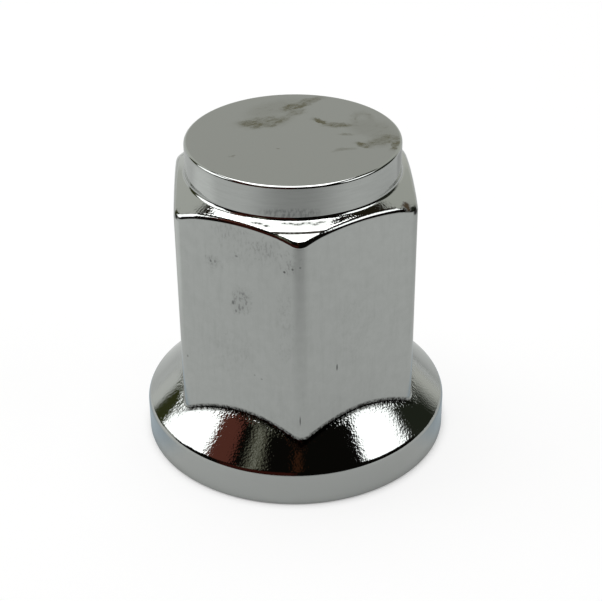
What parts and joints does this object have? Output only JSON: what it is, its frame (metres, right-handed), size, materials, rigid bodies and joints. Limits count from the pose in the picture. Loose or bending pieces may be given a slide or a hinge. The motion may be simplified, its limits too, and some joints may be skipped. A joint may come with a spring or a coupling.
{
  "type": "lug nut",
  "caption": "Closed-end hexagonal wheel nut with a wide coned flange, a flat round cap and a blind threaded hole, chrome plated.",
  "frame": {"origin": "centre of the flat seat, on the axis of the threaded hole; the nut stands on this face", "axes": "+Z along the axis from the seat to the cap, -Y towards one corner of the hexagon, +X towards one flat"},
  "size_m": [0.0256, 0.0256, 0.0267],
  "materials": {
    "chrome_plate": "bright chrome plating with light wear, residue stains on the cap and one small rust spot"
  },
  "bodies": {
    "root": {"lug_nut": "chrome_plate"}
  },
  "joints": []
}
